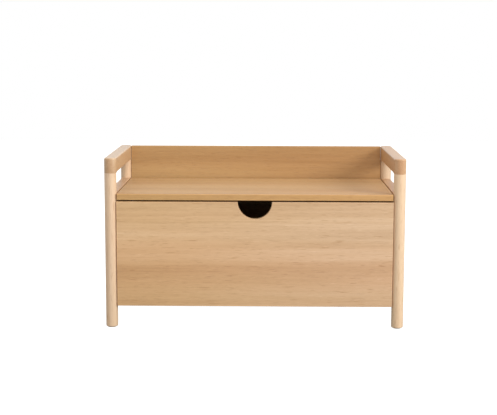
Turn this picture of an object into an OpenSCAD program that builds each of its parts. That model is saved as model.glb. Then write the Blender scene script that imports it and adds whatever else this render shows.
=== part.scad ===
// Wooden toy box: a lidded bench on four round legs.
// X runs across the front, the front faces -Y and Z is up; the origin is on the floor at the middle.

/* [Overall] */
// Width across the outer faces of the legs
overall_w = 850; // [650:5:1200]
// Depth from the front of the front legs to the back of the rear legs
overall_d = 430; // [340:5:600]
// Height of the top of the closed lid above the floor
seat_h = 385; // [300:5:480]
// Gap between the floor and the lower edges of the panels
floor_gap = 63; // [40:1:100]

/* [Legs and arm rails] */
// Diameter of the round legs, and width of the arm rails on them
leg_d = 34; // [27:0.5:40]
// Round-over at the foot of a leg
foot_round = 3; // [1:0.5:5]
// Height of an arm rail
rail_h = 43; // [34:1:60]
// Height of the hand opening between an arm rail and the side panel
hand_gap = 58; // [40:1:120]
// Round-over along the edges of an arm rail
rail_round = 4; // [1:0.5:6]
// Easing at the joint between a leg and an arm rail
joint_ease = 0.8; // [0.4:0.1:1.5]

/* [Panels] */
// Thickness of the front panel and the back panel
board_t = 18; // [15:0.5:22]
// Thickness of a side panel
side_t = 28; // [20:0.5:30]
// Thickness of the bottom panel
bottom_t = 12; // [9:0.5:18]
// Step from the front of the legs back to the front panel and the lid
front_inset = 5; // [2:0.5:8]
// Step from the back of the legs forward to the back panel
back_inset = 7; // [3:0.5:9]
// Step from the inner side of the legs out to the side panel
side_inset = 2; // [0.5:0.5:3]
// Step from the top of the arm rails down to the top of the back panel
back_drop = 1; // [0.5:0.5:5]
// Gap between the ends of the back panel and the arm rails
rail_gap = 1; // [0.5:0.5:2]
// Easing along the edges of the panels
panel_ease = 1; // [0.5:0.1:2]
// Radius of the half-moon finger cut-out in the front panel
cutout_r = 48.5; // [35:0.5:70]

/* [Lid] */
// Thickness of the lid
lid_t = 18; // [17:0.5:22]
// Gap between an end of the lid and the legs
lid_end_gap = 1.5; // [1:0.1:3]
// Gap between the rounded back edge of the lid and the back panel
lid_back_gap = 2.5; // [1.5:0.1:4]
// Gap under the closed lid, which the bumpers fill
lid_seat_gap = 4; // [2:0.5:5]
// Round-over along the front edges of the lid
lid_round = 2; // [1:0.5:4]

/* [Joinery] */
// Width and height of the cleats under the bottom panel
cleat = 18; // [15:1:25]
// Step from the lower edges of the panels up to the cleats
cleat_rise = 2; // [1:1:10]
// Diameter of the dowels in the panel joints
dowel_d = 8; // [6:1:10]
// Length of the dowels in the panel joints
dowel_l = 30; // [24:1:36]
// Diameter of the dowel between a leg and an arm rail
rail_dowel_d = 10; // [8:1:12]
// Length of the dowel between a leg and an arm rail
rail_dowel_l = 56; // [40:1:60]
// Diameter of a cam lock
cam_d = 15; // [12:1:18]
// Height of a cam lock
cam_h = 13; // [12:0.5:13.5]
// Distance from the end of a panel to its cam locks
cam_reach = 34; // [24:1:40]
// Length of a wood screw in the cleats
screw_l = 28; // [24:1:30]
// Diameter of a wood screw in the cleats
screw_d = 4; // [3:0.5:5]

/* [Lid pivots] */
// Diameter of the pivot shaft
shaft_d = 6; // [5:0.5:7]
// Outer diameter of a damper housing
damper_d = 12; // [11.5:0.5:13]
// Length of a damper housing
damper_l = 42; // [34:1:60]
// Length of a pivot plate
plate_l = 46; // [38:1:60]
// Height of a pivot plate
plate_h = 13; // [11:0.5:14]
// Thickness of a pivot plate
plate_t = 2; // [1.5:0.5:3]
// Radial running clearance between a damper's rotor and its housing
run_fit = 0.05; // [0.02:0.01:0.1]

/* [Pads] */
// Thickness of a foot glide
glide_h = 2; // [1:0.5:4]
// Diameter of a foot glide
glide_d = 24; // [16:1:24]
// Diameter of a lid bumper
bumper_d = 9; // [7:0.5:12]

/* [Hidden] */
$fn = 64;

LEFT = -1;
RIGHT = 1;
FRONT = -1;
REAR = 1;

// Clearances between glued or fastened pieces
leg_fit = 0.1;
pin_fit = 0.05;
board_fit = 0.5;
over = 1;

// Legs and arm rails
leg_r = leg_d / 2;
leg_x = overall_w / 2 - leg_r;
leg_y = overall_d / 2 - leg_r;
leg_in = overall_w / 2 - leg_d;
panel_x = leg_in - leg_fit;
leg_top = seat_h + hand_gap;
grip_y = leg_y - leg_r;
overall_h = leg_top + rail_h;

// Faces of the panels
front_y = -overall_d / 2 + front_inset;
bin_front_y = front_y + board_t;
back_y = overall_d / 2 - back_inset;
bin_back_y = back_y - board_t;
side_in = leg_in + side_inset;
side_out = side_in + side_t;
side_mid = side_in + side_t / 2;
front_mid = front_y + board_t / 2;
back_mid = back_y - board_t / 2;
front_top = seat_h - lid_t - lid_seat_gap;
back_top = overall_h - back_drop;

// Floor of the bin
cleat_z = floor_gap + cleat_rise;
bottom_z = cleat_z + cleat;
cleat_front_y = bin_front_y + cleat;
cleat_back_y = bin_back_y - cleat;

// Lid and its axis, at the middle of the lid's rounded back edge
lid_r = lid_t / 2;
lid_x = leg_in - lid_end_gap;
hinge_y = bin_back_y - lid_back_gap - lid_r;
hinge_z = seat_h - lid_r;

// Distance from a leg's axis to its round face, at a given offset from the axis
function leg_face(offset) = sqrt(pow(leg_r, 2) - pow(offset, 2));

// Where the middle of a side panel's end meets the round leg
side_end_y = leg_y - leg_face(leg_x - side_mid);

// Heights of the cam bolts and dowels
cam_edge = 45;
dowel_pitch = 96;
side_dowel_edge = 56;
back_dowel_drop = 42;
joint_mid = (floor_gap + front_top) / 2;
cam_z = [floor_gap + cam_edge, front_top - cam_edge];
front_dowel_z = [joint_mid - dowel_pitch / 2, joint_mid + dowel_pitch / 2];
back_dowel_z = concat(front_dowel_z, [leg_top - back_dowel_drop]);
side_dowel_z = [floor_gap + side_dowel_edge, joint_mid, seat_h - side_dowel_edge];

// Cam bolts: threaded end, collar, shank, neck and head; the cam locks set how deep in the panels they lie
cam_under_bolt = 4;
front_bolt_y = bin_front_y - cam_h + cam_under_bolt;
back_bolt_y = bin_back_y + cam_h - cam_under_bolt;
front_bolt_x = leg_x - leg_face(leg_y + front_bolt_y);
back_bolt_x = leg_x - leg_face(leg_y - back_bolt_y);
bolt_thread_d = 6;
bolt_thread_l = 10;
bolt_collar_d = 7.4;
bolt_collar_l = 2;
bolt_shank_d = 5;
bolt_neck_d = 3.4;
bolt_neck_l = 3.5;
bolt_head_d = 6.4;
bolt_head_l = 2.4;
bolt_past_cam = 2.6;
bolt_hole_d = 8;

// Cam locks
cam_channel_d = 7.4;
cam_slot_w = 1.4;
cam_slot_l = 8;
cam_slot_t = 2;

// Wood screws
screw_head_ratio = 2;
screw_tip = 4;
screw_n = 4;
screw_margin = 70;
side_screw_margin = 60;
bottom_screw_margin = 115;
recess_ratio = 1.1;
recess_w = 1;
recess_t = 1.4;
tip_cover = 4;
bottom_screw_l = bottom_t + cleat - tip_cover;
cleat_screw_x = [for (i = [0:screw_n - 1]) (side_in - screw_margin) * (2 * i / (screw_n - 1) - 1)];
bottom_screw_x = [for (i = [0:screw_n - 1]) (side_in - bottom_screw_margin) * (2 * i / (screw_n - 1) - 1)];
side_screw_y = [cleat_front_y + side_screw_margin, cleat_back_y - side_screw_margin];

// Lid pivots
lid_gap = side_in - lid_x;
rotor_wall = 1.5;
rotor_d = damper_d - 2 * rotor_wall;
rotor_end_gap = 1;
housing_floor = 3;
housing_set = 0.5;
shaft_grip = 16;
shaft_reach = lid_gap + housing_set + shaft_grip - pin_fit;
shaft_root = 9;
shaft_flat = 0.8;
key_w = 2.4;
key_h = 1.6;
key_fit = 0.1;
pivot_screw_d = 3;
pivot_screw_l = 16;
plate_screw_pitch = 14;
plate_screw_y = [hinge_y - plate_screw_pitch, hinge_y - 2 * plate_screw_pitch];

// Bumpers and glides
bumper_fit = 0.05;
bumper_stem_d = 4;
bumper_stem_l = 6;
bumper_inset = 45;
glide_round = 0.6;
glide_nail_d = 2.5;
glide_nail_l = 16;

// A rectangle of the given size, with rounded corners
module eased_rect(size, ease) {
    translate([ease, 0]) square([size.x - 2 * ease, size.y]);
    translate([0, ease]) square([size.x, size.y - 2 * ease]);
    for (x = [ease, size.x - ease], y = [ease, size.y - ease])
        translate([x, y]) circle(ease);
}

// A board along X, from -half to half, whose section's low corner is at y and z
module bar_x(half, y, z, section, ease) {
    translate([-half, y, z]) rotate([90, 0, 90])
        linear_extrude(2 * half) eased_rect(section, ease);
}

// A board along Y, from y0 to y1, whose section's low corner is at x and z
module bar_y(x, y0, y1, z, section, ease) {
    translate([x, y1, z]) rotate([90, 0, 0])
        linear_extrude(y1 - y0) eased_rect(section, ease);
}

// Its children turned to point along X, away from the middle of the box
module outward(side) {
    rotate([0, side * 90, 0]) children();
}

// Its children turned to point along Y, towards the front or the rear
module lengthways(end) {
    rotate([-end * 90, 0, 0]) children();
}

// The room that the legs take from the side panels, the bottom panel and the cleats
module leg_room() {
    for (x = [-leg_x, leg_x], y = [-leg_y, leg_y])
        translate([x, y, 0]) cylinder(r = leg_r + leg_fit, h = leg_top);
}

// The notches in the back panel for the arm rails
module rail_room() {
    w = leg_r + rail_gap;
    for (x = [-leg_x, leg_x]) translate([x - w, bin_back_y - over, leg_top - leg_fit])
        cube([2 * w, board_t + 2 * over, rail_h + over]);
}

// Upright pins at the joints between the legs and the arm rails
module rail_dowel_pins(d, l) {
    for (x = [-leg_x, leg_x], y = [-leg_y, leg_y])
        translate([x, y, leg_top - l / 2]) cylinder(d = d, h = l);
}

// Pins across the joints between the legs and the side panels
module side_dowel_pins(d, l) {
    for (x = [-side_mid, side_mid], end = [FRONT, REAR], z = side_dowel_z)
        translate([x, end * side_end_y, z]) rotate([90, 0, 0]) cylinder(d = d, h = l, center = true);
}

// Pins across the joints between the legs and the front and back panels
module panel_dowel_pins(d, l) {
    for (side = [LEFT, RIGHT]) {
        for (z = front_dowel_z) translate([side * leg_in, front_mid, z])
            outward(side) cylinder(d = d, h = l, center = true);
        for (z = back_dowel_z) translate([side * leg_in, back_mid, z])
            outward(side) cylinder(d = d, h = l, center = true);
    }
}

// Its children at each cam bolt, starting where the bolt enters the leg
module at_cam_bolts() {
    for (side = [LEFT, RIGHT], z = cam_z) {
        translate([side * front_bolt_x, front_bolt_y, z]) outward(side) children();
        translate([side * back_bolt_x, back_bolt_y, z]) outward(side) children();
    }
}

// Its children at each cam lock, at the panel's inner face, pointing out of the panel
module at_cam_locks() {
    for (side = [LEFT, RIGHT], z = cam_z) {
        translate([side * (front_bolt_x - cam_reach), bin_front_y, z]) lengthways(REAR) children();
        translate([side * (back_bolt_x - cam_reach), bin_back_y, z]) lengthways(FRONT) children();
    }
}

// Holes in a panel for the shanks and heads of its cam bolts, and for its cam locks
module cam_holes() {
    at_cam_bolts() translate([0, 0, -cam_reach]) cylinder(d = bolt_hole_d, h = cam_reach + over);
    at_cam_locks() translate([0, 0, -cam_h - pin_fit]) cylinder(d = cam_d + 2 * pin_fit, h = cam_h + over);
}

// Holes in a leg for the threads of its cam bolts, with flat seats for their collars
module bolt_holes() {
    at_cam_bolts() {
        cylinder(d = bolt_thread_d + 2 * pin_fit, h = bolt_thread_l + pin_fit);
        translate([0, 0, -bolt_collar_l]) cylinder(d = bolt_collar_d + 2 * pin_fit, h = bolt_collar_l);
    }
}

// Its children at each screw through a cleat, at the face where the cleat meets its panel
module at_cleat_screws() {
    for (x = cleat_screw_x) {
        translate([x, bin_front_y, cleat_z + cleat / 2]) lengthways(FRONT) children();
        translate([x, bin_back_y, cleat_z + cleat / 2]) lengthways(REAR) children();
    }
    for (side = [LEFT, RIGHT], y = side_screw_y)
        translate([side * side_in, y, cleat_z + cleat / 2]) outward(side) children();
}

// Its children at each screw through the bottom panel, at the top face of the panel, pointing down
module at_bottom_screws() {
    for (x = bottom_screw_x, y = [cleat_front_y - cleat / 2, cleat_back_y + cleat / 2])
        translate([x, y, bottom_z + bottom_t]) rotate([180, 0, 0]) children();
}

// A countersunk screw of length l along Z, whose head's top face is at z = 0
module screw(d, l, fit = 0) {
    head_d = screw_head_ratio * d;
    difference() {
        rotate_extrude() polygon([
            [0, 0], [head_d / 2 + fit, 0], [d / 2 + fit, (head_d - d) / 2],
            [d / 2 + fit, l - screw_tip], [0, l + fit]
        ]);
        if (fit == 0) for (turn = [0, 90]) rotate(turn)
            cube([recess_ratio * d, recess_w, 2 * recess_t], center = true);
    }
}

// Section of a leg, from its axis outwards
module leg_section() {
    h = leg_top - glide_h;
    square([leg_r - foot_round, h]);
    translate([0, foot_round]) square([leg_r - joint_ease, h - foot_round]);
    translate([0, foot_round]) square([leg_r, h - foot_round - joint_ease]);
    translate([leg_r - foot_round, foot_round]) circle(foot_round);
    translate([leg_r - joint_ease, h - joint_ease]) circle(joint_ease);
}

module leg(side, end) {
    color("burlywood") difference() {
        translate([side * leg_x, end * leg_y, glide_h]) rotate_extrude() leg_section();
        rail_dowel_pins(rail_dowel_d + 2 * pin_fit, rail_dowel_l + 2 * pin_fit);
        panel_dowel_pins(dowel_d + 2 * pin_fit, dowel_l + 2 * pin_fit);
        side_dowel_pins(dowel_d + 2 * pin_fit, dowel_l + 2 * pin_fit);
        bolt_holes();
        at_glides() cylinder(d = glide_nail_d + 2 * pin_fit, h = glide_h + glide_nail_l + pin_fit);
        at_pivot(side) plate_shape(leg_fit);
    }
}

// Section of an arm rail, centred on its width, with the given round-over along its underside
module rail_section(under) {
    shoulder = rail_h - rail_round;
    translate([-leg_r, under]) square([leg_d, shoulder - under]);
    translate([under - leg_r, 0]) square([leg_d - 2 * under, shoulder]);
    translate([rail_round - leg_r, under]) square([leg_d - 2 * rail_round, rail_h - under]);
    for (side = [LEFT, RIGHT]) {
        translate([side * (leg_r - rail_round), shoulder]) circle(rail_round);
        translate([side * (leg_r - under), under]) circle(under);
    }
}

// The half-round end of an arm rail, over the axis of a leg
module rail_end() {
    rotate_extrude(angle = 180) intersection() {
        rail_section(joint_ease);
        square([leg_r, rail_h]);
    }
}

module arm_rail(side) {
    color("tan") difference() {
        translate([side * leg_x, 0, leg_top]) {
            translate([0, grip_y, 0]) rotate([90, 0, 0]) linear_extrude(2 * grip_y) rail_section(rail_round);
            for (y = [leg_y, -grip_y])
                translate([0, y, 0]) rotate([90, 0, 0]) linear_extrude(leg_r) rail_section(joint_ease);
            translate([0, leg_y, 0]) rail_end();
            translate([0, -leg_y, 0]) rotate(180) rail_end();
        }
        rail_dowel_pins(rail_dowel_d + 2 * pin_fit, rail_dowel_l + 2 * pin_fit);
    }
}

module side_panel(side) {
    color("navajowhite") difference() {
        bar_y(side == LEFT ? -side_out : side_in, bin_front_y, bin_back_y, floor_gap,
            [side_t, seat_h - floor_gap], panel_ease);
        leg_room();
        side_dowel_pins(dowel_d + 2 * pin_fit, dowel_l + 2 * pin_fit);
        at_cleat_screws() translate([0, 0, -cleat]) screw(screw_d, screw_l, pin_fit);
        at_pivot(side) plate_shape(pin_fit);
        at_pivot_screws(side) screw(pivot_screw_d, pivot_screw_l, pin_fit);
    }
}

// The half-moon finger cut-out, with its arris eased on both faces of the panel
module finger_cutout() {
    rim = panel_ease + over;
    translate([0, front_y, front_top]) rotate([-90, 0, 0]) {
        translate([0, 0, -over]) cylinder(r = cutout_r, h = board_t + 2 * over);
        translate([0, 0, -over]) cylinder(r1 = cutout_r + rim, r2 = cutout_r, h = rim);
        translate([0, 0, board_t - panel_ease]) cylinder(r1 = cutout_r, r2 = cutout_r + rim, h = rim);
    }
}

module front_panel() {
    color("tan") difference() {
        bar_x(panel_x, front_y, floor_gap, [board_t, front_top - floor_gap], panel_ease);
        finger_cutout();
        cam_holes();
        panel_dowel_pins(dowel_d + 2 * pin_fit, dowel_l + 2 * pin_fit);
        at_cleat_screws() translate([0, 0, -cleat]) screw(screw_d, screw_l, pin_fit);
        at_bumpers() translate([0, 0, -bumper_stem_l - pin_fit])
            cylinder(d = bumper_stem_d + 2 * pin_fit, h = bumper_stem_l + over);
    }
}

module back_panel() {
    color("peru") difference() {
        bar_x(panel_x, bin_back_y, floor_gap, [board_t, back_top - floor_gap], panel_ease);
        rail_room();
        cam_holes();
        panel_dowel_pins(dowel_d + 2 * pin_fit, dowel_l + 2 * pin_fit);
        at_cleat_screws() translate([0, 0, -cleat]) screw(screw_d, screw_l, pin_fit);
    }
}

module bottom_panel() {
    half = side_in - board_fit;
    color("wheat") difference() {
        translate([-half, bin_front_y + board_fit, bottom_z])
            cube([2 * half, bin_back_y - bin_front_y - 2 * board_fit, bottom_t]);
        leg_room();
        at_bottom_screws() screw(screw_d, bottom_screw_l, pin_fit);
    }
}

// A cleat along the foot of the front panel or the back panel
module long_cleat(y) {
    half = side_in - board_fit;
    color("bisque") difference() {
        translate([-half, y, cleat_z]) cube([2 * half, cleat, cleat]);
        leg_room();
        at_cleat_screws() translate([0, 0, -cleat]) screw(screw_d, screw_l, pin_fit);
        at_bottom_screws() screw(screw_d, bottom_screw_l, pin_fit);
    }
}

// A cleat along the foot of a side panel, between the two long cleats
module side_cleat(side) {
    y0 = cleat_front_y + board_fit;
    color("bisque") difference() {
        translate([side == LEFT ? -side_in : side_in - cleat, y0, cleat_z])
            cube([cleat, cleat_back_y - board_fit - y0, cleat]);
        at_cleat_screws() translate([0, 0, -cleat]) screw(screw_d, screw_l, pin_fit);
    }
}

// Section of the lid from its front edge back to its axis, with the front edges rounded
module lid_section() {
    depth = hinge_y - front_y;
    translate([lid_round, 0]) square([depth - lid_round, lid_t]);
    translate([0, lid_round]) square([depth, lid_t - 2 * lid_round]);
    for (y = [lid_round, lid_t - lid_round]) translate([lid_round, y]) circle(lid_round);
    translate([depth, lid_r]) circle(lid_r);
}

module lid() {
    color("burlywood") difference() {
        translate([-lid_x, front_y, seat_h - lid_t]) rotate([90, 0, 90])
            linear_extrude(2 * lid_x) lid_section();
        for (side = [LEFT, RIGHT]) at_pivot(side) damper_shape(key_fit, damper_l + pin_fit + over);
    }
}

// Its children on the lid's axis at the inner face of a side panel, pointing out of the box
module at_pivot(side) {
    translate([side * side_in, hinge_y, hinge_z]) outward(side) children();
}

// Its children at the screws of a pivot plate, at the plate's inner face, pointing out of the box
module at_pivot_screws(side) {
    for (y = plate_screw_y) translate([side * side_in, y, hinge_z]) outward(side) children();
}

// A pivot plate let into the side panel, with its shaft's root in the panel
module plate_shape(fit) {
    w = plate_h + 2 * fit;
    l = plate_l - plate_h;
    cylinder(d = w, h = plate_t + fit);
    translate([0, -l, 0]) cylinder(d = w, h = plate_t + fit);
    translate([-w / 2, -l, 0]) cube([w, l, plate_t + fit]);
    cylinder(d = shaft_d + 2 * fit, h = plate_t + shaft_root + fit);
}

// The end of the shaft, with the flat that keys it to the rotor
module shaft_end(fit, l) {
    difference() {
        cylinder(d = shaft_d + 2 * fit, h = l);
        translate([shaft_d / 2 - shaft_flat + fit, -shaft_d, -over])
            cube([shaft_d, 2 * shaft_d, l + 2 * over]);
    }
}

module pivot_plate(side) {
    color("silver") difference() {
        at_pivot(side) {
            plate_shape(0);
            translate([0, 0, -shaft_reach]) shaft_end(0, shaft_reach);
        }
        at_pivot_screws(side) screw(pivot_screw_d, pivot_screw_l, pin_fit);
    }
}

// The rotor turns in the housing and stays with the shaft
module damper_rotor(side) {
    l = damper_l - housing_floor - rotor_end_gap - housing_set;
    color("dimgray") at_pivot(side) translate([0, 0, -lid_gap - housing_set - l]) difference() {
        cylinder(d = rotor_d, h = l);
        translate([0, 0, l - shaft_grip]) shaft_end(pin_fit, shaft_grip + over);
    }
}

// Outer shape of a damper housing in the end of the lid, with the key that stops it turning
module damper_shape(fit, l) {
    translate([0, 0, -lid_gap - damper_l - fit]) {
        cylinder(d = damper_d + 2 * pin_fit * sign(fit), h = l + fit);
        translate([-key_w / 2 - fit, -damper_d / 2 - key_h - fit, 0])
            cube([key_w + 2 * fit, damper_d / 2, l + fit]);
    }
}

module damper_housing(side) {
    color("dimgray") difference() {
        at_pivot(side) damper_shape(0, damper_l);
        at_pivot(side) translate([0, 0, -lid_gap - damper_l + housing_floor])
            cylinder(d = rotor_d + 2 * run_fit, h = damper_l);
    }
}

// Section of a cam bolt: thread, collar, shank, neck and head, from the leg towards the cam lock
module cam_bolt() {
    end_z = cam_reach + bolt_past_cam;
    head_z = end_z - bolt_head_l;
    neck_z = head_z - bolt_neck_l;
    rotate_extrude() polygon([
        [0, -bolt_thread_l], [bolt_thread_d / 2, -bolt_thread_l], [bolt_thread_d / 2, 0],
        [bolt_collar_d / 2, 0], [bolt_collar_d / 2, bolt_collar_l], [bolt_shank_d / 2, bolt_collar_l],
        [bolt_shank_d / 2, neck_z], [bolt_neck_d / 2, neck_z], [bolt_neck_d / 2, head_z],
        [bolt_head_d / 2, head_z], [bolt_head_d / 2, end_z], [0, end_z]
    ]);
}

module cam_bolts() {
    color("silver") at_cam_bolts() rotate([180, 0, 0]) cam_bolt();
}

// Cam locks, each with a channel for the head of its bolt and a cross slot in its face
module cam_locks() {
    color("darkgray") difference() {
        at_cam_locks() difference() {
            translate([0, 0, -cam_h]) cylinder(d = cam_d, h = cam_h);
            for (turn = [0, 90]) rotate(turn) cube([cam_slot_l, cam_slot_w, 2 * cam_slot_t], center = true);
        }
        at_cam_bolts() translate([0, 0, -cam_reach - bolt_past_cam - pin_fit])
            cylinder(d = cam_channel_d, h = cam_reach);
    }
}

module rail_dowels() {
    color("antiquewhite") rail_dowel_pins(rail_dowel_d, rail_dowel_l);
}

module side_panel_dowels() {
    color("antiquewhite") side_dowel_pins(dowel_d, dowel_l);
}

module panel_dowels() {
    color("antiquewhite") panel_dowel_pins(dowel_d, dowel_l);
}

module cleat_screws() {
    color("goldenrod") at_cleat_screws() translate([0, 0, -cleat]) screw(screw_d, screw_l);
}

module bottom_screws() {
    color("goldenrod") at_bottom_screws() screw(screw_d, bottom_screw_l);
}

module pivot_screws() {
    color("silver") for (side = [LEFT, RIGHT]) at_pivot_screws(side) screw(pivot_screw_d, pivot_screw_l);
}

// Its children at the bumpers, on the top edge of the front panel
module at_bumpers() {
    for (side = [LEFT, RIGHT]) translate([side * (leg_in - bumper_inset), front_mid, front_top]) children();
}

// Bumpers with a stem in the panel's top edge
module lid_bumpers() {
    color("dimgray") at_bumpers() {
        cylinder(d = bumper_d, h = lid_seat_gap - bumper_fit);
        translate([0, 0, -bumper_stem_l]) cylinder(d = bumper_stem_d, h = bumper_stem_l);
    }
}

// Its children at the foot of each leg, on the floor
module at_glides() {
    for (x = [-leg_x, leg_x], y = [-leg_y, leg_y]) translate([x, y, 0]) children();
}

// Nail-on glides under the legs
module foot_glides() {
    color("linen") at_glides() rotate_extrude() {
        square([glide_d / 2 - glide_round, glide_h]);
        translate([0, glide_round]) square([glide_d / 2, glide_h - glide_round]);
        translate([glide_d / 2 - glide_round, glide_round]) circle(glide_round);
        square([glide_nail_d / 2, glide_h + glide_nail_l]);
    }
}

leg(LEFT, FRONT);  // leg_front_left
leg(RIGHT, FRONT);  // leg_front_right
leg(LEFT, REAR);  // leg_rear_left
leg(RIGHT, REAR);  // leg_rear_right
arm_rail(LEFT);  // arm_rail_left
arm_rail(RIGHT);  // arm_rail_right
side_panel(LEFT);  // side_panel_left
side_panel(RIGHT);  // side_panel_right
front_panel();
back_panel();
bottom_panel();
long_cleat(bin_front_y);  // front_cleat
long_cleat(cleat_back_y);  // back_cleat
side_cleat(LEFT);  // side_cleat_left
side_cleat(RIGHT);  // side_cleat_right
lid();
lid_bumpers();
foot_glides();
rail_dowels();
side_panel_dowels();
panel_dowels();
cam_bolts();
cam_locks();
cleat_screws();
bottom_screws();
pivot_plate(LEFT);  // pivot_plate_left
pivot_plate(RIGHT);  // pivot_plate_right
pivot_screws();
damper_rotor(LEFT);  // damper_rotor_left
damper_rotor(RIGHT);  // damper_rotor_right
damper_housing(LEFT);  // damper_housing_left
damper_housing(RIGHT);  // damper_housing_right
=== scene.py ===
"""Finishes of the wooden toy box: wood, metal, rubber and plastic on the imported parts, in a white studio."""
import math

import bpy
from mathutils import Matrix, Vector


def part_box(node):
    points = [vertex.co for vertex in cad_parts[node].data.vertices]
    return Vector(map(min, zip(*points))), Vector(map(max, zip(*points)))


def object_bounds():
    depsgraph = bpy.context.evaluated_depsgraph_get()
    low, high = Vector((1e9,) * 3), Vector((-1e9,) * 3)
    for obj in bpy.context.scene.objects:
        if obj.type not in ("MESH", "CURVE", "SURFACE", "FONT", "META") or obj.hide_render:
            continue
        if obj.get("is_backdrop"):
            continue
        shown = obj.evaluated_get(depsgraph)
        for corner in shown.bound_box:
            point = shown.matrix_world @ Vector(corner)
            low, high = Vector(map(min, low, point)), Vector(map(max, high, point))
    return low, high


# Camera: its place in the part's frame in metres, its turns in radians, its lens and sensor in millimetres
CAMERA_PLACE = Vector((0.0228, -3.5342, 0.8200))
CAMERA_PITCH = 0.1411
CAMERA_YAW = 0.0122
CAMERA_ROLL = 0.0027
CAMERA_LENS = 86.34
SENSOR_WIDTH = 36.0

# Surroundings: how bright the white looks, and how much light it gives
WHITE = (1.0, 1.0, 1.0, 1.0)
BACKDROP_LOOK = 1.0
BACKDROP_LIGHT = 0.75

# Floor: its size in metres, its glow as the camera sees it, how much light it returns, and its roughness
FLOOR_SIZE = 12.0
FLOOR_GLOW = 1.0
FLOOR_ALBEDO = 0.32
FLOOR_ROUGHNESS = 0.9

# Soft lamps: name, place and size in metres, power in watts
LAMPS = (
    ("key", (3.0, -1.9, 2.0), 1.3, 86.0),
    ("front", (0.5, -2.3, 1.9), 1.2, 20.0),
)

# Linear colours of the woods: dark streak, body, light streak
PALE_OAK = ((0.61, 0.41, 0.235), (0.75, 0.545, 0.345), (0.83, 0.64, 0.445))
OAK = ((0.46, 0.275, 0.135), (0.60, 0.395, 0.222), (0.70, 0.50, 0.315))
BIRCH = ((0.52, 0.37, 0.22), (0.63, 0.47, 0.29), (0.71, 0.56, 0.38))
PINE = ((0.50, 0.31, 0.13), (0.66, 0.47, 0.25), (0.74, 0.57, 0.35))
BEECH = ((0.52, 0.32, 0.19), (0.62, 0.41, 0.26), (0.69, 0.49, 0.33))

# Noise patterns: scale per metre on each axis, detail, roughness. In wood the first axis is along the grain.
PATTERNS = {
    "drift": ((1.3, 5.0, 5.0), 2.0, 0.5),
    "ring_strength": ((0.8, 14.0, 14.0), 2.0, 0.5),
    "broad": ((0.7, 17.0, 17.0), 3.0, 0.5),
    "streaks": ((2.2, 110.0, 110.0), 5.0, 0.66),
    "fine": ((9.0, 620.0, 620.0), 2.0, 0.5),
    "pores": ((34.0, 1100.0, 1100.0), 1.0, 0.5),
    "dashes": ((24.0, 260.0, 260.0), 1.0, 0.5),
    "flecks": ((40.0, 260.0, 420.0), 1.0, 0.5),
    "warmth": ((0.5, 8.0, 8.0), 2.0, 0.5),
    "speckle": ((60.0, 900.0, 900.0), 2.0, 0.5),
    "wear_and_highlight": ((9.0, 60.0, 60.0), 2.0, 0.5),
    "plating": ((160.0, 160.0, 160.0), 3.0, 0.5),
    "dull_spots": ((420.0, 420.0, 420.0), 2.0, 0.5),
    "upright_scratches": ((900.0, 900.0, 60.0), 3.0, 0.7),
    "level_scratches": ((60.0, 60.0, 900.0), 3.0, 0.7),
    "casting": ((300.0, 300.0, 300.0), 3.0, 0.7),
    "dust": ((90.0, 90.0, 90.0), 3.0, 0.5),
    "fine_texture": ((1500.0, 1500.0, 1500.0), 3.0, 0.6),
    "coarse_texture": ((900.0, 900.0, 900.0), 3.0, 0.6),
}

# Patches of a pattern: the noise at which they begin and are full, then their least and greatest strength
PATCHES = {
    "ring_strength": (0.35, 0.65, 0.0, 1.0),
    "pores": (0.60, 0.74, 0.0, 1.0),
    "dashes": (0.64, 0.76, 0.0, 1.0),
    "flecks": (0.64, 0.76, 0.0, 1.0),
    "warmth": (0.35, 0.68, 0.0, 1.0),
    "speckle": (0.5, 0.62, 0.0, 1.0),
    "wear_and_highlight": (0.35, 0.7, 0.25, 1.0),
    "dull_spots": (0.58, 0.75, 0.0, 1.0),
}

# What the wood's features multiply its colour by
WARMTH_TINT = (1.01, 0.95, 0.95)
DASH_TINT = (0.80, 0.72, 0.62)
PORE_TINT = (0.66, 0.54, 0.42)
END_GRAIN_TINT = (0.95, 0.90, 0.86)
SPECKLE_TINT = (0.86, 0.78, 0.70)
# The lightened edges are partly rubbed by handling and partly a painted highlight
WORN_AND_HIGHLIGHT_TINT = (1.16, 1.14, 1.12)
PLAIN = (1.0, 1.0, 1.0)

# How strongly open pores darken the wood, as dashes and as pores, and how deep they are in its relief
DASH_STRENGTH = 0.8
PORE_STRENGTH = 0.55
PORE_DEPTH = 0.8

# Grain: the shift that one step of a seed makes, its sideways wander in metres, and the shape of its rings
SEED_SHIFT = (1.37, 0.41, 0.23)
WANDER = 0.03
RING_DRIFT = 5.0
RING_SHARPNESS = 3.0

# How far a surface has to face along the grain, or to the front, for its tone to begin and to be full
FACING_ALONG = (0.72, 0.97)
FACING_FRONT = (0.5, 0.95)

# How much of a band has its full tone, and how much of the grain's wander the band's edges follow
BAND_CORE = 0.6
BAND_WANDER = 0.4

# The width along a board's edges that is lightened, by rubbing and by a painted highlight, and the depths of
# the reliefs, in metres
WORN_AND_LIT_WIDTH = 0.004
WOOD_RELIEF = 0.00022
METAL_RELIEF = 0.00005
MOULDED_RELIEF = 0.00006

# The lacquer's roughness, and about what the patterns add to a surface's roughness, which is taken off again
LACQUER_ROUGHNESS = 0.32
WOOD_ADDED = 0.08
METAL_ADDED = 0.12
MOULDED_ADDED = 0.16

# The darkest and the lightest shade of a metal or a moulding, as multiples of its colour
METAL_SHADES = (0.80, 1.12)
MOULDED_SHADES = (0.86, 1.16)

# Sockets of a Mix node when it mixes colours
MIX_FACTOR, MIX_FIRST, MIX_SECOND, MIX_RESULT = 0, 6, 7, 2

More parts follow.
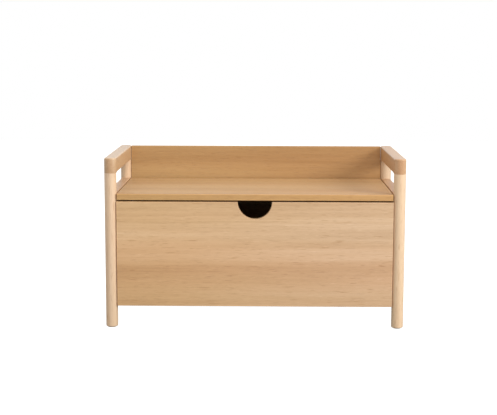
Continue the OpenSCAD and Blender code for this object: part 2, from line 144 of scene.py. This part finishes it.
# Finishes of the wooden parts
LEG = {"woods": PALE_OAK, "pith": (0.03, 0.05), "coat": 0.4}
LEFT_RAIL = {"pith": (0.05, 0.09), "coat": 0.5}
# The right rail's darker, more saturated tones, darkest at its rear end, are painted shade: its inner face is
# turned away from the key lamp
RIGHT_RAIL = {"pith": (0.05, 0.09), "coat": 0.5, "start": (0.88, 0.80, 0.70), "end": (0.84, 0.72, 0.52)}
SIDE = {"start": (0.94, 0.85, 0.75), "end": (0.96, 0.88, 0.78), "worn_and_lit_edges": True}
# The front panel's change to a whiter right end is a painted sheen, its lower band is painted shade, and its
# upper band is lighter and whiter
FRONT = {
    "start": (1.09, 1.06, 0.94), "end": (1.06, 1.07, 1.11), "worn_and_lit_edges": True,
    "bands": ((0.278, 0.03, (1.03, 1.05, 1.09)), (0.13, 0.078, (0.945, 0.91, 0.86))),
}
# The back board's darker, more saturated tone is painted shade and painted bounce light from the lid, and also
# darkens its inner face; its darker right end is a painted shadow of the right rail
BACK = {"start": (0.80, 0.755, 0.535), "end": (0.72, 0.63, 0.42), "coat": 0.1, "worn_and_lit_edges": True}
LID = {
    "start": (0.935, 0.875, 0.69), "end": (0.90, 0.81, 0.62), "front": (1.02, 1.0, 0.85),
    "roughness": 0.5, "coat": 0.1, "worn_and_lit_edges": True,
}
PLYWOOD = {"woods": BIRCH, "ring": 0.011, "open_pores": 0.25, "roughness": 0.62, "coat": 0.0}
CLEAT = {"woods": PINE, "ring": 0.004, "open_pores": 0.2, "roughness": 0.6, "coat": 0.0}
DOWEL = {"woods": BEECH, "ring": 0.003, "open_pores": 0.3, "roughness": 0.6, "coat": 0.0}

# Wooden parts: material, node, axis of the grain, seed, finish
TIMBERS = (
    ("oak_leg_front_left", "leg_front_left", "Z", 1, LEG),
    ("oak_leg_front_right", "leg_front_right", "Z", 2, LEG),
    ("oak_leg_rear_left", "leg_rear_left", "Z", 3, LEG),
    ("oak_leg_rear_right", "leg_rear_right", "Z", 4, LEG),
    ("oak_rail_left", "arm_rail_left", "Y", 5, LEFT_RAIL),
    ("oak_rail_right", "arm_rail_right", "Y", 6, RIGHT_RAIL),
    ("oak_side_panel_left", "side_panel_left", "Y", 7, SIDE),
    ("oak_side_panel_right", "side_panel_right", "Y", 8, SIDE),
    ("oak_front", "front_panel", "X", 9.3, FRONT),
    ("oak_back", "back_panel", "X", 10.7, BACK),
    ("oak_lid", "lid", "X", 11.9, LID),
    ("birch_plywood", "bottom_panel", "X", 13.0, PLYWOOD),
    ("pine_front_cleat", "front_cleat", "X", 14, CLEAT),
    ("pine_back_cleat", "back_cleat", "X", 15, CLEAT),
    ("pine_side_cleat_left", "side_cleat_left", "Y", 16, CLEAT),
    ("pine_side_cleat_right", "side_cleat_right", "Y", 17, CLEAT),
    ("beech_rail_dowels", "rail_dowels", "Z", 20, DOWEL),
    ("beech_side_panel_dowels", "side_panel_dowels", "Y", 20, DOWEL),
    ("beech_panel_dowels", "panel_dowels", "X", 20, DOWEL),
)

# Metal parts: material, colour, roughness, pattern of the surface, nodes
METALS = (
    ("zinc_plate", (0.62, 0.61, 0.58), 0.36, "upright_scratches", ("cam_bolts",)),
    ("cast_zinc", (0.50, 0.50, 0.49), 0.44, "casting", ("cam_locks",)),
    ("yellow_zinc", (0.68, 0.54, 0.26), 0.34, "upright_scratches", ("cleat_screws", "bottom_screws")),
    ("steel_plate", (0.56, 0.56, 0.56), 0.40, "level_scratches",
     ("pivot_plate_left", "pivot_plate_right", "pivot_screws")),
)

# Plastic and rubber parts: material, colour, roughness, pattern of the surface, nodes
MOULDINGS = (
    ("black_plastic", (0.028, 0.028, 0.030), 0.55, "fine_texture",
     ("damper_rotor_left", "damper_rotor_right", "damper_housing_left", "damper_housing_right")),
    ("brown_rubber", (0.050, 0.028, 0.017), 0.72, "coarse_texture", ("lid_bumpers",)),
    ("ivory_plastic", (0.74, 0.68, 0.57), 0.50, "fine_texture", ("foot_glides",)),
)


class Graph:
    """One material's node tree, with a short call for each kind of node that the finishes use."""

    def __init__(self, name):
        self.material = bpy.data.materials.new(name)
        self.material.use_nodes = True
        self.tree = self.material.node_tree
        self.shader = self.tree.nodes["Principled BSDF"]
        coordinates = self.add("ShaderNodeTexCoord")
        self.surface = coordinates.outputs["Object"]
        self.normal = coordinates.outputs["Normal"]

    def feed(self, socket, value):
        """Links the socket to another node's output, or sets it to a constant."""
        if isinstance(value, bpy.types.NodeSocket):
            self.tree.links.new(value, socket)
        else:
            socket.default_value = value

    def add(self, kind, values=(), **settings):
        """A new node with its settings, and with its sockets fed."""
        node = self.tree.nodes.new(kind)
        for key, value in settings.items():
            setattr(node, key, value)
        for socket, value in dict(values).items():
            self.feed(node.inputs[socket], value)
        return node

    def math(self, operation, a, b=0.0):
        """One operation on numbers."""
        return self.add("ShaderNodeMath", {0: a, 1: b}, operation=operation).outputs[0]

    def vector(self, operation, a, b=(0.0, 0.0, 0.0)):
        """One operation on vectors."""
        return self.add("ShaderNodeVectorMath", {0: a, 1: b}, operation=operation).outputs[0]

    def split(self, vector):
        """A vector's three parts."""
        return list(self.add("ShaderNodeSeparateXYZ", {0: vector}).outputs)

    def join(self, parts):
        """The vector with these three parts."""
        return self.add("ShaderNodeCombineXYZ", dict(enumerate(parts))).outputs[0]

    def pattern(self, place, name):
        """Noise from 0 to 1, as PATTERNS describes it."""
        scale, detail, roughness = PATTERNS[name]
        values = {"Vector": self.vector("MULTIPLY", place, scale), "Scale": 1.0, "Detail": detail}
        return self.add("ShaderNodeTexNoise", {**values, "Roughness": roughness}).outputs["Fac"]

    def patches(self, place, name):
        """The pattern's patches, as PATCHES describes them."""
        return self.step(self.pattern(place, name), *PATCHES[name])

    def step(self, value, low, high, out_low=0.0, out_high=1.0):
        """A smooth change from out_low to out_high as the value goes from low to high."""
        values = {"Value": value, "From Min": low, "From Max": high, "To Min": out_low, "To Max": out_high}
        return self.add("ShaderNodeMapRange", values, interpolation_type="SMOOTHSTEP").outputs["Result"]

    def ramp(self, value, colours):
        """Colours spread evenly over values from 0 to 1."""
        node = self.add("ShaderNodeValToRGB", {"Fac": value})
        elements = node.color_ramp.elements
        while len(elements) < len(colours):
            elements.new(0.5)
        for i, colour in enumerate(colours):
            elements[i].position = i / (len(colours) - 1)
            elements[i].color = (*colour, 1.0)
        return node.outputs["Color"]

    def tint(self, colour, factor, by):
        """The colour, multiplied by another as far as the factor says."""
        values = {MIX_FACTOR: factor, MIX_FIRST: colour, MIX_SECOND: (*by, 1.0)}
        node = self.add("ShaderNodeMix", values, data_type="RGBA", blend_type="MULTIPLY")
        return node.outputs[MIX_RESULT]

    def total(self, *terms):
        """The sum of (weight, value) terms."""
        result = 0.0
        for weight, value in terms:
            node = self.add("ShaderNodeMath", {0: value, 1: weight, 2: result}, operation="MULTIPLY_ADD")
            result = node.outputs[0]
        return result

    def finish(self, colour, roughness, height, relief, **constants):
        """Feeds the shader its colour, roughness and bump, and sets its other sockets to constants."""
        self.feed(self.shader.inputs["Base Color"], colour)
        self.feed(self.shader.inputs["Roughness"], roughness)
        bump = self.add("ShaderNodeBump", {"Height": height, "Distance": relief})
        self.feed(self.shader.inputs["Normal"], bump.outputs["Normal"])
        for name, value in constants.items():
            self.shader.inputs[name.replace("_", " ")].default_value = value
        return self.material


def along(axis, parts):
    """A point's three coordinates in the order along the grain, then across it."""
    x, y, z = parts
    return {"X": (x, y, z), "Y": (y, x, z), "Z": (z, x, y)}[axis]


def edge_mask(graph, node, width):
    """1 at the edges of a straight board, falling to 0 at the given distance from them."""
    low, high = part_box(node)
    from_middle = graph.vector("SUBTRACT", graph.surface, (low + high) / 2)
    depth = graph.vector("SUBTRACT", (high - low) / 2, graph.vector("ABSOLUTE", from_middle))
    a, b, c = graph.split(depth)
    lower, upper = graph.math("MINIMUM", a, b), graph.math("MAXIMUM", a, b)
    middle = graph.math("MAXIMUM", lower, graph.math("MINIMUM", upper, c))
    return graph.step(middle, 0.0, width, 1.0, 0.0)


def growth_rings(graph, place, lines, drift, pith, ring):
    """Growth rings round a distant pith, with their spacing and strength changing across the board."""
    across = graph.vector("MULTIPLY", graph.vector("SUBTRACT", lines, (0.0, *pith)), (0.0, 1.0, 1.0))
    radius = graph.add("ShaderNodeVectorMath", {0: across}, operation="LENGTH").outputs["Value"]
    phase = graph.total((math.tau / ring, radius), (RING_DRIFT, drift))
    wave = graph.total((0.5, graph.math("SINE", phase)), (0.5, 1.0))
    rings = graph.math("POWER", wave, RING_SHARPNESS)
    return graph.math("MULTIPLY", rings, graph.patches(place, "ring_strength"))


def tones_and_painted_light(graph, colour, node, axis, wander, start, end, bands, front):
    """The colour with the part's tones: along the grain, in bands at set heights, and on its front. Some are
    the wood's own colour, and some are painted shade and a painted sheen.
    """
    low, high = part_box(node)
    ends = [along(axis, corner)[0] for corner in (low, high)]
    position = graph.step(along(axis, graph.split(graph.surface))[0], *ends)
    colour = graph.tint(graph.tint(colour, 1.0, start), position, [b / a for a, b in zip(start, end)])
    level = graph.total((1.0, graph.split(graph.surface)[2]), (BAND_WANDER, wander))
    for middle, half, tone in bands:
        away = graph.math("ABSOLUTE", graph.math("SUBTRACT", level, middle))
        colour = graph.tint(colour, graph.step(away, BAND_CORE * half, half, 1.0, 0.0), tone)
    facing = graph.math("MULTIPLY", graph.split(graph.normal)[1], -1.0)
    return graph.tint(colour, graph.step(facing, *FACING_FRONT), front)


def timber(name, node, axis, seed, woods=OAK, pith=(0.12, 0.07), ring=0.011, start=PLAIN, end=PLAIN,
           front=PLAIN, bands=(), open_pores=1.0, roughness=0.42, coat=0.25, worn_and_lit_edges=False):
    """Wood whose grain runs along an axis: growth rings round a distant pith, streaks, open pores and flecks.

    Its tone changes from start to end along the grain, and faces turned to the front have their own tone.
    Each band is a height, half a width and a tone. The pith's place and the rings' spacing are in metres.
    """
    graph = Graph(name)
    shift = [seed * part for part in SEED_SHIFT]
    place = graph.vector("ADD", graph.join(along(axis, graph.split(graph.surface))), shift)
    drift = graph.pattern(place, "drift")
    wander = graph.math("MULTIPLY", graph.math("SUBTRACT", drift, 0.5), WANDER)
    lines = graph.vector("ADD", place, graph.join((0.0, wander, wander)))
    rings = growth_rings(graph, place, lines, drift, (shift[1] + pith[0], shift[2] + pith[1]), ring)

    broad = graph.pattern(lines, "broad")
    streaks = graph.pattern(lines, "streaks")
    fine = graph.pattern(lines, "fine")
    pores = graph.patches(lines, "pores")
    dashes = graph.patches(place, "dashes")
    flecks = graph.patches(place, "flecks")
    shade = graph.total(
        (1.1, broad), (0.6, streaks), (0.3, fine), (-0.07, rings), (0.22, flecks), (-0.5, 1.0)
    )
    colour = graph.ramp(shade, woods)
    colour = graph.tint(colour, graph.patches(place, "warmth"), WARMTH_TINT)
    colour = graph.tint(colour, graph.math("MULTIPLY", dashes, DASH_STRENGTH * open_pores), DASH_TINT)
    colour = graph.tint(colour, graph.math("MULTIPLY", pores, PORE_STRENGTH * open_pores), PORE_TINT)

    # End grain, darker and speckled, where the surface faces along the grain
    facing = graph.math("ABSOLUTE", along(axis, graph.split(graph.normal))[0])
    end_grain = graph.step(facing, *FACING_ALONG)
    speckle = graph.math("MULTIPLY", end_grain, graph.patches(place, "speckle"))
    colour = graph.tint(graph.tint(colour, end_grain, END_GRAIN_TINT), speckle, SPECKLE_TINT)

    # Handling has rubbed and lightened the edges of the boards, and the lightening also stands for a painted
    # highlight on their rounded arrises
    if worn_and_lit_edges:
        worn_and_lit = graph.math("MULTIPLY", edge_mask(graph, node, WORN_AND_LIT_WIDTH), graph.patches(place, "wear_and_highlight"))
        colour = graph.tint(colour, worn_and_lit, WORN_AND_HIGHLIGHT_TINT)
    colour = tones_and_painted_light(graph, colour, node, axis, wander, start, end, bands, front)

    dullness = graph.total((0.16, streaks), (0.16, pores), (0.20, end_grain), (roughness - WOOD_ADDED, 1.0))
    height = graph.total((0.35, streaks), (0.25, fine), (0.20, rings), (-PORE_DEPTH * open_pores, pores))
    lacquer = {"Coat_Weight": coat, "Coat_Roughness": LACQUER_ROUGHNESS}
    return graph.finish(colour, dullness, height, WOOD_RELIEF, **lacquer)


def shades(colour, least, most):
    """A colour's darkest shade, the colour itself and its lightest shade."""
    return [[part * by for part in colour] for by in (least, 1.0, most)]


def metal(name, colour, roughness, surface):
    """Plated steel or cast zinc: fine scratches, cloudy plating and dull spots."""
    graph = Graph(name)
    cloud = graph.pattern(graph.surface, "plating")
    scratch = graph.pattern(graph.surface, surface)
    dull = graph.patches(graph.surface, "dull_spots")
    shade = graph.ramp(graph.total((0.6, cloud), (0.5, scratch)), shades(colour, *METAL_SHADES))
    dullness = graph.total((0.25, scratch), (0.18, dull), (roughness - METAL_ADDED, 1.0))
    height = graph.total((0.6, scratch), (-0.4, dull))
    return graph.finish(shade, dullness, height, METAL_RELIEF, Metallic=1.0)


def moulded(name, colour, roughness, surface):
    """Moulded plastic or rubber: a fine spark-eroded grain, with a little dust in it."""
    graph = Graph(name)
    texture = graph.pattern(graph.surface, surface)
    cloud = graph.pattern(graph.surface, "dust")
    shade = graph.ramp(graph.total((0.6, cloud), (0.4, texture)), shades(colour, *MOULDED_SHADES))
    dullness = graph.total((0.20, texture), (0.12, cloud), (roughness - MOULDED_ADDED, 1.0))
    return graph.finish(shade, dullness, texture, MOULDED_RELIEF)


def put(material, *nodes):
    """Gives a material to CAD nodes, in every slot that they have."""
    for name in nodes:
        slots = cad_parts[name].material_slots
        for slot in slots:
            slot.material = material
        if not slots:
            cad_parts[name].data.materials.append(material)


def finish_parts():
    """Every CAD node's material."""
    for name, node, axis, seed, settings in TIMBERS:
        put(timber(name, node, axis, seed, **settings), node)
    for name, colour, roughness, surface, nodes in METALS:
        put(metal(name, colour, roughness, surface), *nodes)
    for name, colour, roughness, surface, nodes in MOULDINGS:
        put(moulded(name, colour, roughness, surface), *nodes)


def make_camera():
    """The camera, at the photograph's viewing angle."""
    data = bpy.data.cameras.new("camera")
    data.sensor_width = SENSOR_WIDTH
    data.lens = CAMERA_LENS
    camera = bpy.data.objects.new("camera", data)
    turn = (
        Matrix.Rotation(CAMERA_YAW, 4, "Z")
        @ Matrix.Rotation(math.pi / 2 - CAMERA_PITCH, 4, "X")
        @ Matrix.Rotation(CAMERA_ROLL, 4, "Z")
    )
    camera.matrix_world = Matrix.Translation(CAMERA_PLACE) @ turn
    bpy.context.scene.collection.objects.link(camera)
    bpy.context.scene.camera = camera


def make_floor():
    """A plain white floor that glows a little, so that the shadows on it stay faint."""
    half = FLOOR_SIZE / 2
    mesh = bpy.data.meshes.new("floor")
    corners = [(-half, -half, 0.0), (half, -half, 0.0), (half, half, 0.0), (-half, half, 0.0)]
    mesh.from_pydata(corners, [], [(0, 1, 2, 3)])
    floor = bpy.data.objects.new("floor", mesh)
    bpy.context.scene.collection.objects.link(floor)
    graph = Graph("floor_white")
    seen = graph.add("ShaderNodeLightPath").outputs["Is Camera Ray"]
    graph.feed(graph.shader.inputs["Base Color"], (FLOOR_ALBEDO, FLOOR_ALBEDO, FLOOR_ALBEDO, 1.0))
    graph.feed(graph.shader.inputs["Roughness"], FLOOR_ROUGHNESS)
    graph.feed(graph.shader.inputs["Emission Color"], WHITE)
    graph.feed(graph.shader.inputs["Emission Strength"], graph.math("MULTIPLY", seen, FLOOR_GLOW))
    mesh.materials.append(graph.material)
    floor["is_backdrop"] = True


def make_light():
    """White surroundings and soft lamps. The surroundings look whiter than the light that they give."""
    world = bpy.data.worlds.new("studio")
    world.use_nodes = True
    tree = world.node_tree
    background = tree.nodes["Background"]
    background.inputs["Color"].default_value = WHITE
    rays = tree.nodes.new("ShaderNodeLightPath")
    strength = tree.nodes.new("ShaderNodeMapRange")
    strength.inputs["To Min"].default_value = BACKDROP_LOOK
    strength.inputs["To Max"].default_value = BACKDROP_LIGHT
    tree.links.new(rays.outputs["Is Diffuse Ray"], strength.inputs["Value"])
    tree.links.new(strength.outputs["Result"], background.inputs["Strength"])
    bpy.context.scene.world = world
    middle = Vector((0.0, 0.0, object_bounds()[1][2] / 2))
    for name, place, size, power in LAMPS:
        data = bpy.data.lights.new(name, "AREA")
        data.size = size
        data.energy = power
        lamp = bpy.data.objects.new(name, data)
        lamp.location = place
        lamp.rotation_euler = (middle - Vector(place)).to_track_quat("-Z", "Y").to_euler()
        bpy.context.scene.collection.objects.link(lamp)


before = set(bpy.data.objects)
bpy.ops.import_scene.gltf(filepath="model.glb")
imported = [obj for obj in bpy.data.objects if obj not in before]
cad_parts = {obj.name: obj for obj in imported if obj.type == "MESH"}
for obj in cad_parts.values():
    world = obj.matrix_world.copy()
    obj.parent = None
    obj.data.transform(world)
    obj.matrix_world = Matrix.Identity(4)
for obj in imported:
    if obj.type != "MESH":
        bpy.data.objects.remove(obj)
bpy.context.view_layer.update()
finish_parts()
make_camera()
make_floor()
make_light()
bpy.context.scene.view_settings.view_transform = "Standard"
